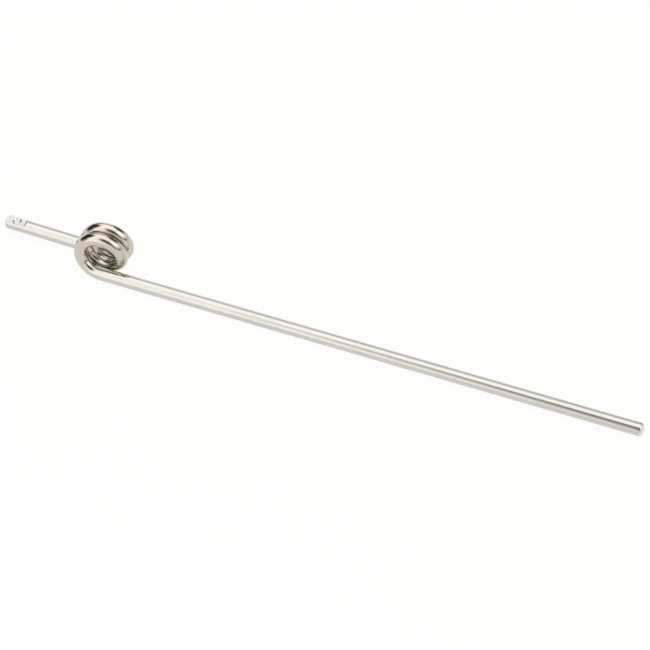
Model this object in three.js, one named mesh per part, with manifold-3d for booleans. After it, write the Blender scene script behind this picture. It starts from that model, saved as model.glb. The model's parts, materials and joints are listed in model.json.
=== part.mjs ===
// Drill paint mixer bent from one bright steel rod: a long straight drive shank, a close-wound coil of
// two turns and a short straight tail. The rod is modelled as four stretches that meet end to end, so that
// the coil can flex between the shank and the tail.
//
// Millimetres, +Z up. The mixer lies on its shank with the coil standing on edge: the shank runs to +X,
// the coil's axis lies along Y, and the shank leaves the coil on the -Y side.

import * as THREE from 'three';
import { mergeVertices } from 'three/addons/utils/BufferGeometryUtils.js';
import Module from 'manifold-3d';

const wasm = await Module();
wasm.setup();

// Rod
const rodDiameter = 6;
const rodRadius = rodDiameter / 2;
const endChamfer = 1;
const stretchGap = 0.3; // between two stretches, and nowhere on the real rod

// Coil
const coilMeanRadius = 8.95;
const coilPitch = 6.5; // the turns all but touch
const turnCount = 2;

// Elbows, where the rod leaves the coil's slope and straightens: half of an elbow's length
const elbowReach = 1;

// Arms, measured along X from the coil's axis to the end
const shankLength = 249.5;
const tailLength = 50.4;
const tailRise = THREE.MathUtils.degToRad(2.5); // the coil is wound this much past its two turns
const tailLean = THREE.MathUtils.degToRad(0.9); // the tail's tip leans a little towards the shank's side

// Flat and set screw dimple at the tail's tip
const flatLength = 10;
const flatDepth = 1;
const flatRunOutRadius = 1.2; // the round corner that the milling cutter leaves at the flat's inner end
const dimpleRimRadius = 2;
const dimpleFloorRadius = 1.3;
const dimpleDepth = 0.5;
const dimpleInset = 5.2; // from the tip to the dimple's centre
const cutterMargin = 1; // how far a cutter stands out of the metal it cuts

// Facets
const rodSides = 24;
const dimpleSides = 24;
const runOutSides = 6;
const stepsPerTurn = 40;

/** The point of the rod's centreline at a winding angle, counted from the shank's end of the coil. */
function coilPoint(angle) {
  return new THREE.Vector3(
    -coilMeanRadius * Math.sin(angle),
    coilPitch * (angle / (2 * Math.PI) - turnCount / 2),
    rodRadius + coilMeanRadius * (1 - Math.cos(angle)),
  );
}

/** The unit direction in which the centreline winds at that angle. */
function coilDirection(angle) {
  return new THREE.Vector3(
    -coilMeanRadius * Math.cos(angle),
    coilPitch / (2 * Math.PI),
    coilMeanRadius * Math.sin(angle),
  ).normalize();
}

/** A stretch of the coil's helix between two winding angles. */
class CoilCurve extends THREE.Curve {
  constructor(startAngle, endAngle) {
    super();
    this.startAngle = startAngle;
    this.endAngle = endAngle;
  }

  getPoint(t) {
    return coilPoint(THREE.MathUtils.lerp(this.startAngle, this.endAngle, t));
  }
}

/** The elbow that leads from a point of the coil, along its slope, into a straight arm. */
function elbow(start, coilWay, armWay) {
  const corner = start.clone().addScaledVector(coilWay, elbowReach);
  const end = corner.clone().addScaledVector(armWay, elbowReach);
  return new THREE.QuadraticBezierCurve3(start, corner, end);
}

function reversedCurve(curve) {
  return new THREE.QuadraticBezierCurve3(curve.v2, curve.v1, curve.v0);
}

const coilEndAngle = 2 * Math.PI * turnCount + tailRise;
const midAngle = 2 * Math.PI;
const halfGapAngle = stretchGap / 2 / coilMeanRadius;

const shankWay = new THREE.Vector3(1, 0, 0);
const tailWay = new THREE.Vector3(
  -Math.cos(tailLean) * Math.cos(tailRise),
  -Math.sin(tailLean),
  Math.cos(tailLean) * Math.sin(tailRise),
);
const shankElbow = elbow(coilPoint(0), coilDirection(0).negate(), shankWay);
const tailElbow = elbow(coilPoint(coilEndAngle), coilDirection(coilEndAngle), tailWay);

/** A round section swept along the curves given, one after another. */
function sweptRod(curves) {
  const section = new THREE.Shape();
  section.absarc(0, 0, rodRadius, 0, 2 * Math.PI);
  const path = new THREE.CurvePath();
  curves.forEach((curve) => path.add(curve));
  return new THREE.ExtrudeGeometry(section, {
    curveSegments: rodSides / 2, // an arc gets two sides for each of these
    steps: stepsPerTurn,
    extrudePath: path,
  });
}

function frontTurnGeometry() {
  return sweptRod([reversedCurve(shankElbow), new CoilCurve(0, midAngle - halfGapAngle)]);
}

function rearTurnGeometry() {
  return sweptRod([new CoilCurve(midAngle + halfGapAngle, coilEndAngle), tailElbow]);
}

/** A straight rod along local +Y from y = 0, square at its root and chamfered at its tip. */
function straightRod(length) {
  const profile = [
    new THREE.Vector2(0, 0),
    new THREE.Vector2(rodRadius, 0),
    new THREE.Vector2(rodRadius, length - endChamfer),
    new THREE.Vector2(rodRadius - endChamfer, length),
    new THREE.Vector2(0, length),
  ];
  return new THREE.LatheGeometry(profile, rodSides);
}

function solidOf(geometry) {
  const bare = geometry.clone();
  bare.deleteAttribute('normal');
  bare.deleteAttribute('uv');
  const merged = mergeVertices(bare);
  return new wasm.Manifold(new wasm.Mesh({
    numProp: 3,
    vertProperties: new Float32Array(merged.attributes.position.array),
    triVerts: new Uint32Array(merged.index.array),
  }));
}

function geometryOf(solid) {
  const mesh = solid.getMesh();
  const geometry = new THREE.BufferGeometry();
  geometry.setAttribute('position', new THREE.BufferAttribute(mesh.vertProperties, 3));
  geometry.setIndex(new THREE.BufferAttribute(mesh.triVerts, 1));
  geometry.computeVertexNormals();
  return geometry;
}

/** The milling cut that takes the flat off the tail's upper side, local +Z, with a round inner corner. */
function flatCutter(length) {
  const flatLevel = rodRadius - flatDepth;
  const top = rodRadius + cutterMargin;
  const innerEnd = length - flatLength;
  const sideView = new THREE.Shape();
  sideView.moveTo(length + cutterMargin, flatLevel);
  sideView.lineTo(length + cutterMargin, top);
  sideView.lineTo(innerEnd, top);
  sideView.absarc(
    innerEnd + flatRunOutRadius, flatLevel + flatRunOutRadius, flatRunOutRadius, Math.PI, 1.5 * Math.PI,
  );
  const width = 2 * top;
  const cut = new THREE.ExtrudeGeometry(sideView, {
    depth: width,
    bevelEnabled: false,
    curveSegments: runOutSides,
  });
  cut.translate(0, 0, -width / 2);
  // The side view's axes become the rod's own: along it, then up.
  cut.applyMatrix4(new THREE.Matrix4().makeBasis(
    new THREE.Vector3(0, 1, 0), new THREE.Vector3(0, 0, 1), new THREE.Vector3(1, 0, 0),
  ));
  return cut;
}

/** The round cutter that sinks the set screw's dimple into the flat, pointing down local Z. */
function dimpleCutter(length) {
  const flatLevel = rodRadius - flatDepth;
  const slope = (dimpleRimRadius - dimpleFloorRadius) / dimpleDepth;
  const profile = [
    new THREE.Vector2(0, flatLevel - dimpleDepth),
    new THREE.Vector2(dimpleFloorRadius, flatLevel - dimpleDepth),
    new THREE.Vector2(dimpleRimRadius + slope * cutterMargin, flatLevel + cutterMargin),
    new THREE.Vector2(0, flatLevel + cutterMargin),
  ];
  const cutter = new THREE.LatheGeometry(profile, dimpleSides);
  cutter.rotateX(Math.PI / 2);
  cutter.translate(0, length - dimpleInset, 0);
  return cutter;
}

function tailGeometry(length) {
  const rod = solidOf(straightRod(length));
  const withFlat = rod.subtract(solidOf(flatCutter(length)));
  return geometryOf(withFlat.subtract(solidOf(dimpleCutter(length))));
}

function brightSteel() {
  return new THREE.MeshStandardMaterial({ color: 0xcfccc4, roughness: 0.16, metalness: 1 });
}

function stretch(name, geometry) {
  const mesh = new THREE.Mesh(geometry, brightSteel());
  mesh.name = name;
  return mesh;
}

/** Lays a straight arm, made along local +Y with its top at local +Z, from a point along a direction. */
function layArm(arm, root, way) {
  const side = new THREE.Vector3().crossVectors(way, new THREE.Vector3(0, 0, 1)).normalize();
  const top = new THREE.Vector3().crossVectors(side, way);
  arm.setRotationFromMatrix(new THREE.Matrix4().makeBasis(side, way, top));
  arm.position.copy(root).addScaledVector(way, stretchGap);
  return arm;
}

const shankRodLength = shankLength - shankElbow.v2.x - stretchGap;
const tailRodLength = (tailLength + tailElbow.v2.x) / -tailWay.x - stretchGap;

const rod = new THREE.Group();
rod.add(
  layArm(stretch('drive_shank', straightRod(shankRodLength)), shankElbow.v2, shankWay),
  stretch('front_turn', frontTurnGeometry()),
  stretch('rear_turn', rearTurnGeometry()),
  layArm(stretch('tail', tailGeometry(tailRodLength)), tailElbow.v2, tailWay),
);

// The origin is the middle of the space that the mixer takes up, at the surface it lies on.
const bounds = new THREE.Box3().setFromObject(rod, true);
const middle = bounds.getCenter(new THREE.Vector3());
rod.position.set(-middle.x, -middle.y, -bounds.min.z);

const mixer = new THREE.Group();
mixer.add(rod);

export default mixer;
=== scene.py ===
# Looks of the drill paint mixer: one bright steel rod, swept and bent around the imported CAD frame.
#
# The rod is made the way a workshop makes it. A straight bar is chamfered, gets its flat and screw dimple,
# and is then bent: every point of the bar is carried over to the same place along the bent centreline.
# The bar's own coordinates stay on the mesh, so the steel's drawing lines follow the rod round the coil.
# Metres, in the CAD frame.

import json
import math

import bmesh
import bpy
import numpy as np
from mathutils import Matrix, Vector


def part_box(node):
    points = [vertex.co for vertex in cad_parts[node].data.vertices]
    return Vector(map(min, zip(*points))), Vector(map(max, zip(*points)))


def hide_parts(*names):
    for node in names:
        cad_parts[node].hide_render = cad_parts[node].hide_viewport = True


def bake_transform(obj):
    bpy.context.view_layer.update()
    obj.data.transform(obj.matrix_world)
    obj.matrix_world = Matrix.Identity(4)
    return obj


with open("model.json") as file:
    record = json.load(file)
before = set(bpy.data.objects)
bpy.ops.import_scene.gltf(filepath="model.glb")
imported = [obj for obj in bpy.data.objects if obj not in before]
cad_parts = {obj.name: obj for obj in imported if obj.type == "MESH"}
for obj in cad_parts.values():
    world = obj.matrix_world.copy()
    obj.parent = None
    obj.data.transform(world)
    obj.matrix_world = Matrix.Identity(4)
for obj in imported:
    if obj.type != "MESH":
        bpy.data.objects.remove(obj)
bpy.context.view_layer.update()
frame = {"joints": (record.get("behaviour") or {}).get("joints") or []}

# The frame's own sizes
SHANK_LOW, SHANK_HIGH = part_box("drive_shank")
FLEX = frame["joints"][0]
COIL_CENTRE = Vector(FLEX["pos_m"])
REST_HEIGHT = (SHANK_HIGH.z - SHANK_LOW.z) / 2
COIL_RADIUS = COIL_CENTRE.z - REST_HEIGHT
SKIN = 0.00002  # how far the rod's surface stays inside the CAD's, which has flatter facets
ROD_RADIUS = REST_HEIGHT - SKIN

# Driving sizes that the frame's boxes don't give
COIL_PITCH = 0.0065
TURNS = 2
ELBOW = 0.001
TAIL_LENGTH = 0.0504
TAIL_RISE = math.radians(2.5)
TAIL_LEAN = math.radians(0.9)
CHAMFER = 0.001
EDGE_ROUNDING = 0.0002
FLAT_LENGTH = 0.01
FLAT_DEPTH = 0.001
FLAT_END_RADIUS = 0.0012
DIMPLE_RIM_RADIUS = 0.002
DIMPLE_FLOOR_RADIUS = 0.0013
DIMPLE_DEPTH = 0.0005
DIMPLE_INSET = 0.0052
CUTTER_MARGIN = 0.001
COIL_END_ANGLE = 2 * math.pi * TURNS + TAIL_RISE  # the coil is wound a little past its full turns

# Fineness of the mesh
WELD_DISTANCE = 0.00001  # points closer than this become one
SHARP_ANGLE = math.radians(32)  # edges that turn more than this stay crisp
ROD_SIDES = 72
COIL_STEP = 0.00035
ARM_STEP = 0.003
DIMPLE_SIDES = 48
ARC_POINTS = 5

# The steel
PAINTED_TINT_FADE = 0.012  # over how much of the bar the coil's painted reflection tint comes and goes
MACHINED_DEPTH = 0.00008  # a surface this far inside the drawn one was cut, and not drawn
DRAWN_DEPTH = 0.00003  # a surface no further inside than this is the drawn one
LINE_HEIGHT = 0.000004  # of the drawing lines and tool marks

# The view, in degrees and metres
CAMERA_AZIMUTH = 21.3
CAMERA_ELEVATION = 47.51
CAMERA_DISTANCE = 1.314
CAMERA_AIM = Vector((0.00409, 0.00073, 0.00294))
CAMERA_LENS = 168.5
SENSOR_WIDTH = 36.0

# The studio. Dark gaps in the white tent, all in degrees but the last: azimuth, elevation, half-width of the
# dark part, width of its soft edge, and how dark it is from 0 to 1
DARK_GAPS = (
    (-96, 27, 22, 14, 0.98),
    (-60, 12, 7, 12, 0.80),
    (-165, 29, 9, 19, 0.50),
    (150, 34, 11, 13, 0.92),
    (168, 12, 12, 13, 0.93),
    (24, 42, 13, 14, 0.75),
    (-136, 9, 11, 12, 0.85),
    (77, 5, 7, 9, 0.7),
)
TENT_LIGHT = 1.5
RIGHT_WALL = 0.7  # of the tent's light
RIM_DEPTH = 0.5  # of the dark line where the right wall meets the table
TABLE_GLOW = 0.95
FLOOR_HALF_SIZE = 4.0

# The photographer, dark against the tent
SHAPE_CENTRE = Vector((0.17, -0.504, 0.75))
SHAPE_HALF_WIDTH = 0.55
SHAPE_HALF_HEIGHT = 1.3
SHAPE_TILT = math.radians(20)
SHAPE_DEPTH = 0.82


# ---------------------------------------------------------------- the centreline

def coil_point(angle):
    """The centreline at a winding angle from the shank's end of the coil, about the coil's middle."""
    return Vector((
        -COIL_RADIUS * math.sin(angle),
        COIL_PITCH * (angle / (2 * math.pi) - TURNS / 2),
        REST_HEIGHT + COIL_RADIUS * (1 - math.cos(angle)),
    ))


def coil_direction(angle):
    """The unit direction in which the centreline winds at that angle."""
    return Vector((
        -COIL_RADIUS * math.cos(angle),
        COIL_PITCH / (2 * math.pi),
        COIL_RADIUS * math.sin(angle),
    )).normalized()


def quadratic_curve(start, corner, end, steps):
    """Points of the curve that leaves start towards the corner and reaches end from it."""
    return [start * (1 - t) ** 2 + corner * (2 * t * (1 - t)) + end * t ** 2 for t in steps]


def elbow_points(start, coil_way, arm_way):
    """The elbow from the coil's slope into a straight arm, without its first point."""
    corner = start + coil_way * ELBOW
    end = corner + arm_way * ELBOW
    count = math.ceil(2 * ELBOW / COIL_STEP)
    return quadratic_curve(start, corner, end, [index / count for index in range(1, count + 1)])


def straight_points(start, end, step):
    """Points from start to end, without the first."""
    count = math.ceil((end - start).length / step)
    return [start.lerp(end, index / count) for index in range(1, count + 1)]


def coil_span():
    """About where the coil starts and ends along the straight bar, counted from the tail's tip."""
    coil_length = COIL_END_ANGLE * math.hypot(COIL_RADIUS, COIL_PITCH / (2 * math.pi))
    return TAIL_LENGTH, TAIL_LENGTH + coil_length


def centreline():
    """Every station of the rod from the tail's tip to the shank's end, in the CAD frame."""
    start, end = coil_span()
    count = math.ceil((end - start) / COIL_STEP)
    coil = [coil_point(COIL_END_ANGLE * (1 - index / count)) for index in range(count + 1)]

    tail_way = Vector((
        -math.cos(TAIL_LEAN) * math.cos(TAIL_RISE),
        -math.sin(TAIL_LEAN),
        math.cos(TAIL_LEAN) * math.sin(TAIL_RISE),
    ))
    tail_elbow = elbow_points(coil_point(COIL_END_ANGLE), coil_direction(COIL_END_ANGLE), tail_way)
    tail_root = tail_elbow[-1]
    tail_tip = tail_root + tail_way * ((TAIL_LENGTH + tail_root.x) / -tail_way.x)
    tail = straight_points(tail_root, tail_tip, ARM_STEP)

    shank_way = Vector((1, 0, 0))
    shank_elbow = elbow_points(coil_point(0), -coil_direction(0), shank_way)
    shank_root = shank_elbow[-1]
    shank_tip = shank_root + shank_way * (SHANK_HIGH.x - COIL_CENTRE.x - shank_root.x)
    shank = straight_points(shank_root, shank_tip, ARM_STEP)

    points = tail[::-1] + tail_elbow[::-1] + coil + shank_elbow + shank
    along_coil_axis = (SHANK_LOW.y + SHANK_HIGH.y) / 2 - shank_tip.y
    return np.array(points) + np.array((COIL_CENTRE.x, along_coil_axis, 0))


class BentPath:
    """Carries a point of the straight bar to its place on the bent rod."""

    def __init__(self, points):
        gaps = np.linalg.norm(np.diff(points, axis=0), axis=1)
        self.points = points
        self.places = np.concatenate(([0], np.cumsum(gaps)))
        self.length = self.places[-1]
        self.ways = self._unit(np.gradient(points, self.places, axis=0))
        self.tops = self._carried_tops()
        self.sides = np.cross(self.ways, self.tops)

    @staticmethod
    def _unit(vectors):
        return vectors / np.linalg.norm(vectors, axis=-1, keepdims=True)

    def _carried_tops(self):
        """The bar's upper side at each station, turned with the rod but never twisted about it."""
        top = np.array((0.0, 0.0, 1.0))
        tops = []
        for way in self.ways:
            top = top - way * np.dot(top, way)
            top = top / np.linalg.norm(top)
            tops.append(top)
        return np.array(tops)

    def _at(self, values, place):
        columns = [np.interp(place, self.places, values[:, axis]) for axis in range(3)]
        return np.stack(columns, axis=1)

    def carry(self, bar_points):
        """Bar points are (towards the top, towards the side, along the bar)."""
        place = bar_points[:, 2]
        top = self._unit(self._at(self.tops, place))
        side = self._unit(self._at(self.sides, place))
        return self._at(self.points, place) + top * bar_points[:, :1] + side * bar_points[:, 1:2]


# ---------------------------------------------------------------- the bar

def rounded_corner(before, corner, after, radius):
    """Points of a small round corner between two straight stretches of an outline."""
    start = corner + (before - corner).normalized() * radius
    end = corner + (after - corner).normalized() * radius
    return quadratic_curve(start, corner, end, [index / (ARC_POINTS - 1) for index in range(ARC_POINTS)])


def end_outline():
    """(depth from the end of the path, radius) from the middle of the face to the bar's full size."""
    middle = Vector((SKIN, 0))
    face_edge = Vector((SKIN, ROD_RADIUS - CHAMFER))
    shoulder = Vector((CHAMFER, ROD_RADIUS))
    body = Vector((3 * CHAMFER, ROD_RADIUS))
    outline = [middle, middle.lerp(face_edge, 1 / 3), middle.lerp(face_edge, 2 / 3)]
    outline += rounded_corner(middle, face_edge, shoulder, EDGE_ROUNDING)
    outline += rounded_corner(face_edge, shoulder, body, EDGE_ROUNDING)
    outline.append(body)
    return outline


def new_piece(name, shape):
    """An object made from the mesh under construction."""
    mesh = bpy.data.meshes.new(name)
    shape.to_mesh(mesh)
    shape.free()
    piece = bpy.data.objects.new(name, mesh)
    bpy.context.scene.collection.objects.link(piece)
    return piece


def turned_mesh(name, outline, sides):
    """A closed mesh turned about local Z from (height, radius) points, from the axis up and back to it."""
    shape = bmesh.new()
    angles = [2 * math.pi * index / sides for index in range(sides)]
    rings = []
    for height, radius in outline:
        if radius == 0:
            rings.append([shape.verts.new((0, 0, height))] * sides)
            continue
        places = [(radius * math.cos(angle), radius * math.sin(angle), height) for angle in angles]
        rings.append([shape.verts.new(place) for place in places])
    for lower, upper in zip(rings, rings[1:]):
        for index in range(sides):
            following = (index + 1) % sides
            corners = [lower[index], lower[following], upper[following], upper[index]]
            shape.faces.new(list(dict.fromkeys(corners)))
    return new_piece(name, shape)


def straight_bar(path):
    """The bar before bending: chamfered at both ends, with a ring at every station of the path."""
    end = end_outline()
    inset = end[-1].x
    stations = [place for place in path.places if inset < place < path.length - inset]
    outline = [tuple(point) for point in end]
    outline += [(place, ROD_RADIUS) for place in stations]
    outline += [(path.length - depth, radius) for depth, radius in reversed(end)]
    return turned_mesh("mixer_rod", outline, ROD_SIDES)


def flat_cutter():
    """The milling cut along the top of the tail's tip, with a rounded end wall."""
    level = ROD_RADIUS - FLAT_DEPTH
    clear = ROD_RADIUS + CUTTER_MARGIN
    centre_place = FLAT_LENGTH - FLAT_END_RADIUS
    centre_level = level + FLAT_END_RADIUS
    outline = [(-CUTTER_MARGIN, clear), (-CUTTER_MARGIN, level)]
    steps = 2 * ARC_POINTS
    for index in range(steps):
        angle = math.pi / 2 * index / (steps - 1)
        place = centre_place + FLAT_END_RADIUS * math.sin(angle)
        outline.append((place, centre_level - FLAT_END_RADIUS * math.cos(angle)))
    outline.append((FLAT_LENGTH, clear))

    shape = bmesh.new()
    near = [shape.verts.new((height, -clear, place)) for place, height in outline]
    far = [shape.verts.new((height, clear, place)) for place, height in outline]
    for index in range(len(outline)):
        following = (index + 1) % len(outline)
        shape.faces.new([near[index], near[following], far[following], far[index]])
    shape.faces.new(near)
    shape.faces.new(far)
    bmesh.ops.recalc_face_normals(shape, faces=shape.faces)
    return new_piece("flat_cutter", shape)


def dimple_cutter():
    """The round cutter that sinks the set screw's dimple into the flat."""
    level = ROD_RADIUS - FLAT_DEPTH
    floor = level - DIMPLE_DEPTH
    slope = (DIMPLE_RIM_RADIUS - DIMPLE_FLOOR_RADIUS) / DIMPLE_DEPTH
    outline = [
        (floor, 0),
        (floor, DIMPLE_FLOOR_RADIUS),
        (level + CUTTER_MARGIN, DIMPLE_RIM_RADIUS + slope * CUTTER_MARGIN),
        (level + CUTTER_MARGIN, 0),
    ]
    cutter = turned_mesh("dimple_cutter", outline, DIMPLE_SIDES)
    cutter.rotation_euler = (0, math.pi / 2, 0)
    cutter.location = (0, 0, DIMPLE_INSET)
    return cutter


def weld(mesh):
    """Closes the slivers that are left where the flat only grazes the rounded tip."""
    shape = bmesh.new()
    shape.from_mesh(mesh)
    bmesh.ops.remove_doubles(shape, verts=shape.verts, dist=WELD_DISTANCE)
    shape.to_mesh(mesh)
    shape.free()


def cut(piece, cutters):
    """Takes the cutters out of the piece and removes them."""
    for cutter in cutters:
        boolean = piece.modifiers.new(cutter.name, "BOOLEAN")
        boolean.object = cutter
        boolean.operation = "DIFFERENCE"
        boolean.solver = "EXACT"
    bpy.context.view_layer.update()
    evaluated = piece.evaluated_get(bpy.context.evaluated_depsgraph_get())
    mesh = bpy.data.meshes.new_from_object(evaluated)
    weld(mesh)
    piece.modifiers.clear()
    piece.data = mesh
    for cutter in cutters:
        bpy.data.objects.remove(cutter)


def bend(piece, path):
    """Bends the finished bar, and keeps each point's place on the straight bar for the material."""
    mesh = piece.data
    count = len(mesh.vertices)
    flat_list = np.zeros(3 * count)
    mesh.vertices.foreach_get("co", flat_list)
    bar_points = flat_list.reshape(count, 3)
    place = mesh.attributes.new("bar_place", "FLOAT_VECTOR", "POINT")
    place.data.foreach_set("vector", bar_points.astype(np.float32).ravel())
    mesh.vertices.foreach_set("co", path.carry(bar_points).ravel())
    mesh.update()
    mesh.shade_smooth()
    mesh.set_sharp_from_angle(angle=SHARP_ANGLE)


# ---------------------------------------------------------------- materials

def node(tree, kind, settings=None, **sockets):
    """Adds a node. A socket goes by its name, or as i0, i1 and so on by its number. Its value is a number,
    a tuple, or another node's output to link."""
    made = tree.nodes.new(kind)
    for name, value in (settings or {}).items():
        setattr(made, name, value)
    for name, value in sockets.items():
        key = int(name[1:]) if name[0] == "i" and name[1:].isdigit() else name.replace("_", " ")
        socket = made.inputs[key]
        if isinstance(value, bpy.types.NodeSocket):
            tree.links.new(value, socket)
        else:
            socket.default_value = value
    return made


def maths(tree, operation, first, second=0.0, third=0.0):
    return node(tree, "ShaderNodeMath", {"operation": operation}, i0=first, i1=second, i2=third).outputs[0]


def ranged(tree, value, low, high, to_low=0.0, to_high=1.0, smooth=False):
    """Maps low..high onto to_low..to_high, held at both ends."""
    settings = {"interpolation_type": "SMOOTHSTEP" if smooth else "LINEAR"}
    mapped = node(tree, "ShaderNodeMapRange", settings, Value=value, From_Min=low, From_Max=high,
                  To_Min=to_low, To_Max=to_high)
    return mapped.outputs["Result"]


def stretched(tree, place, across, along):
    """Bar coordinates scaled to so many features per millimetre across and along the rod."""
    scale = (across * 1000, across * 1000, along * 1000)
    settings = {"operation": "MULTIPLY"}
    return node(tree, "ShaderNodeVectorMath", settings, i0=place, i1=scale).outputs["Vector"]


def noise(tree, vector, detail=2.0, roughness=0.5):
    """Noise with features about one unit in size."""
    made = node(tree, "ShaderNodeTexNoise", None,
                Vector=vector, Scale=1.0, Detail=detail, Roughness=roughness)
    return made.outputs["Fac"]


def mixed_colour(tree, amount, first, second):
    """The colour mixing node's first sockets are its amount, and the seventh and eighth its two colours."""
    return node(tree, "ShaderNodeMix", {"data_type": "RGBA"}, i0=amount, i6=first, i7=second).outputs[2]


def new_material(name):
    material = bpy.data.materials.new(name)
    material.use_nodes = True
    shader = material.node_tree.nodes["Principled BSDF"]
    return material, material.node_tree, shader


def bright_steel():
    """Polished round bar: drawing lines along it, a warmer tint on the coil that is painted reflection of
    its turns in one another, and duller machined faces.
    """
    material, tree, shader = new_material("bright_steel")
    place = node(tree, "ShaderNodeAttribute", {"attribute_name": "bar_place"}).outputs["Vector"]

    mottle = noise(tree, stretched(tree, place, across=0.12, along=0.05), detail=3.0)
    patches = ranged(tree, mottle, 0.35, 0.65)
    straight = mixed_colour(tree, patches, (0.575, 0.563, 0.53, 1), (0.60, 0.583, 0.545, 1))
    # painted reflection: this warmer, browner colour on the coil stands in for the coil's turns reflecting
    # one another, not a colour of the steel
    coil_tint_painted_reflection = mixed_colour(tree, patches, (0.585, 0.545, 0.47, 1), (0.605, 0.56, 0.48, 1))
    drawn_colour_and_painted_tint = mixed_colour(tree, on_the_coil(tree, place), straight, coil_tint_painted_reflection)
    machined = machined_faces(tree, place)
    tree.links.new(mixed_colour(tree, machined, drawn_colour_and_painted_tint, (0.74, 0.73, 0.71, 1)), shader.inputs["Base Color"])

    drawing = noise(tree, stretched(tree, place, across=7.0, along=0.05), detail=4.0, roughness=0.6)
    handling = noise(tree, stretched(tree, place, across=0.25, along=0.18), detail=4.0, roughness=0.6)
    polish = ranged(tree, handling, 0.3, 0.7, 0.10, 0.17)
    lined = maths(tree, "MULTIPLY_ADD", drawing, 0.05, polish)
    dulled = maths(tree, "MULTIPLY_ADD", machined, 0.22, lined)
    tree.links.new(dulled, shader.inputs["Roughness"])

    rings = noise(tree, stretched(tree, place, across=0.4, along=9.0), detail=2.0)
    lines_left = maths(tree, "MULTIPLY", drawing, maths(tree, "SUBTRACT", 1.0, machined))
    toolmarks = maths(tree, "MULTIPLY", maths(tree, "MULTIPLY", rings, machined), 0.04)
    height = maths(tree, "ADD", lines_left, toolmarks)
    bump = node(tree, "ShaderNodeBump", None, Strength=0.35, Distance=LINE_HEIGHT, Height=height)
    tree.links.new(bump.outputs["Normal"], shader.inputs["Normal"])
    shader.inputs["Metallic"].default_value = 1.0
    return material


def on_the_coil(tree, place):
    """1 on the coil and 0 on the arms, with a soft change between them; it lays on the coil's painted
    reflection tint.
    """
    start, end = coil_span()
    along = node(tree, "ShaderNodeSeparateXYZ", None, Vector=place).outputs["Z"]
    entering = ranged(tree, along, start - PAINTED_TINT_FADE, start + PAINTED_TINT_FADE, 0.0, 1.0, smooth=True)
    leaving = ranged(tree, along, end - PAINTED_TINT_FADE, end + PAINTED_TINT_FADE, 1.0, 0.0, smooth=True)
    return maths(tree, "MULTIPLY", entering, leaving)


def machined_faces(tree, place):
    """1 where metal was cut away (flat, dimple, chamfers, ends) and 0 on the drawn surface."""
    flattened = node(tree, "ShaderNodeVectorMath", {"operation": "MULTIPLY"}, i0=place, i1=(1, 1, 0))
    radius = node(tree, "ShaderNodeVectorMath", {"operation": "LENGTH"}, i0=flattened.outputs["Vector"])
    cut_radius = ROD_RADIUS - MACHINED_DEPTH
    drawn_radius = ROD_RADIUS - DRAWN_DEPTH
    return ranged(tree, radius.outputs["Value"], cut_radius, drawn_radius, 1.0, 0.0)


def light_table():
    """The pale glowing table top, with hardly any shadow on it."""
    material, tree, shader = new_material("light_table")
    position = node(tree, "ShaderNodeNewGeometry").outputs["Position"]
    mottle = noise(tree, position, detail=2.0)
    tree.links.new(
        mixed_colour(tree, ranged(tree, mottle, 0.3, 0.7), (0.97, 0.97, 0.96, 1), (1.0, 1.0, 0.99, 1)),
        shader.inputs["Emission Color"],
    )
    shader.inputs["Emission Strength"].default_value = TABLE_GLOW
    shader.inputs["Base Color"].default_value = (0.06, 0.06, 0.06, 1)
    shader.inputs["Roughness"].default_value = 0.9
    shader.inputs["Specular IOR Level"].default_value = 0.1
    return material


def dark_shape():
    """Black in the middle and clear at the rim of a card that is two units wide."""
    material, tree, shader = new_material("dark_shape")
    place = node(tree, "ShaderNodeTexCoord").outputs["Object"]
    distance = node(tree, "ShaderNodeVectorMath", {"operation": "LENGTH"}, i0=place).outputs["Value"]
    darkness = ranged(tree, distance, 0.25, 1.0, SHAPE_DEPTH, 0.0, smooth=True)
    shader.inputs["Base Color"].default_value = (0, 0, 0, 1)
    shader.inputs["Specular IOR Level"].default_value = 0.0
    tree.links.new(darkness, shader.inputs["Alpha"])
    return material


# ---------------------------------------------------------------- the studio

def compass(azimuth, elevation):
    """The unit direction at an azimuth, in degrees from -Y towards +X, and an elevation."""
    azimuth, elevation = math.radians(azimuth), math.radians(elevation)
    return (
        math.sin(azimuth) * math.cos(elevation),
        -math.cos(azimuth) * math.cos(elevation),
        math.sin(elevation),
    )


def gap_shade(tree, direction, azimuth, elevation, core, edge, depth):
    """1 away from a dark gap, and 1 - depth inside it."""
    toward = compass(azimuth, elevation)
    cosine = node(tree, "ShaderNodeVectorMath", {"operation": "DOT_PRODUCT"}, i0=direction, i1=toward)
    outer = math.cos(math.radians(core + edge))
    inner = math.cos(math.radians(core))
    return ranged(tree, cosine.outputs["Value"], outer, inner, 1.0, 1.0 - depth, smooth=True)


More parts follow.
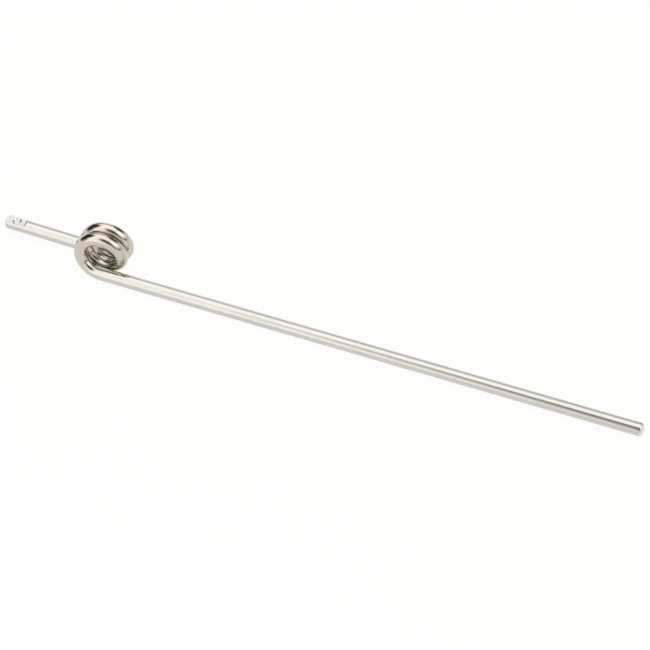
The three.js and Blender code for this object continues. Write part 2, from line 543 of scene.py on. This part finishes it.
def studio_world():
    """A white tent with a greyer right wall, a dark line at its foot, and a few dark gaps."""
    world = bpy.data.worlds.new("studio")
    world.use_nodes = True
    tree = world.node_tree
    background = tree.nodes["Background"]
    output = tree.nodes["World Output"]

    direction = node(tree, "ShaderNodeTexCoord").outputs["Generated"]
    parts = node(tree, "ShaderNodeSeparateXYZ", None, Vector=direction)
    light = ranged(tree, parts.outputs["X"], 0.2, 0.8, TENT_LIGHT, TENT_LIGHT * RIGHT_WALL, smooth=True)
    rim_depth = ranged(tree, parts.outputs["X"], 0.2, 0.7, 0.0, RIM_DEPTH)
    at_rim = ranged(tree, parts.outputs["Z"], 0.04, 0.24, 1.0, 0.0, smooth=True)
    rim = maths(tree, "SUBTRACT", 1.0, maths(tree, "MULTIPLY", rim_depth, at_rim))
    light = maths(tree, "MULTIPLY", light, rim)
    for gap in DARK_GAPS:
        light = maths(tree, "MULTIPLY", light, gap_shade(tree, direction, *gap))
    tree.links.new(light, background.inputs["Strength"])
    background.inputs["Color"].default_value = (1.0, 0.995, 0.98, 1)

    plain = node(tree, "ShaderNodeBackground", None, Color=(0.93, 0.93, 0.925, 1), Strength=1.0)
    straight_on = node(tree, "ShaderNodeLightPath").outputs["Is Camera Ray"]
    choice = node(tree, "ShaderNodeMixShader", None, i0=straight_on,
                  i1=background.outputs[0], i2=plain.outputs[0])
    tree.links.new(choice.outputs[0], output.inputs["Surface"])
    bpy.context.scene.world = world


def soft_light(name, azimuth, elevation, distance, size, power):
    """A square softbox that faces the mixer."""
    light = bpy.data.lights.new(name, "AREA")
    light.shape = "SQUARE"
    light.size = size
    light.energy = power
    lamp = bpy.data.objects.new(name, light)
    toward = Vector(compass(azimuth, elevation))
    lamp.location = toward * distance
    lamp.rotation_euler = (-toward).to_track_quat("-Z", "Y").to_euler()
    bpy.context.scene.collection.objects.link(lamp)


def stage_piece(name, shape, material):
    """A piece of the studio, made from the mesh under construction."""
    piece = new_piece(name, shape)
    piece.data.materials.append(material)
    return piece


def pale_floor():
    """The light table that the mixer lies on, far wider than the view."""
    shape = bmesh.new()
    bmesh.ops.create_grid(shape, x_segments=16, y_segments=16, size=FLOOR_HALF_SIZE)
    stage_piece("floor", shape, light_table())


def photographer():
    """A soft-edged dark shape behind the camera's view, which the steel reflects."""
    shape = bmesh.new()
    bmesh.ops.create_grid(shape, x_segments=1, y_segments=1, size=1.0)
    piece = stage_piece("photographer", shape, dark_shape())
    piece.location = SHAPE_CENTRE
    piece.rotation_euler = (math.pi / 2, -SHAPE_TILT, 0)
    piece.scale = (SHAPE_HALF_WIDTH, SHAPE_HALF_HEIGHT, 1)
    piece.visible_camera = False


def camera():
    """The camera, at the photograph's angle."""
    data = bpy.data.cameras.new("camera")
    data.lens = CAMERA_LENS
    data.sensor_width = SENSOR_WIDTH
    data.clip_start = 0.05
    viewer = bpy.data.objects.new("camera", data)
    back = Vector(compass(CAMERA_AZIMUTH, CAMERA_ELEVATION))
    viewer.location = CAMERA_AIM + back * CAMERA_DISTANCE
    viewer.rotation_euler = (-back).to_track_quat("-Z", "Y").to_euler()
    bpy.context.scene.collection.objects.link(viewer)
    bpy.context.scene.camera = viewer


# ---------------------------------------------------------------- the mixer

def mixer_rod():
    """The whole rod: turned, milled and then bent."""
    path = BentPath(centreline())
    rod = straight_bar(path)
    cut(rod, [flat_cutter(), dimple_cutter()])
    bend(rod, path)
    rod.data.materials.clear()
    rod.data.materials.append(bright_steel())
    return rod


def wind_with_the_coil(rod):
    """Bakes the rod's placement into its mesh; nothing here makes the coil wind or unwind."""
    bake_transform(rod)


camera()
studio_world()
soft_light("overhead_softbox", azimuth=-120, elevation=72, distance=1.6, size=1.0, power=0.3)
soft_light("side_softbox", azimuth=86, elevation=40, distance=1.6, size=1.0, power=2.6)
pale_floor()
photographer()
bpy.context.scene.view_settings.view_transform = "Standard"

rod_piece = mixer_rod()
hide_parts("drive_shank", "front_turn", "rear_turn", "tail")
wind_with_the_coil(rod_piece)
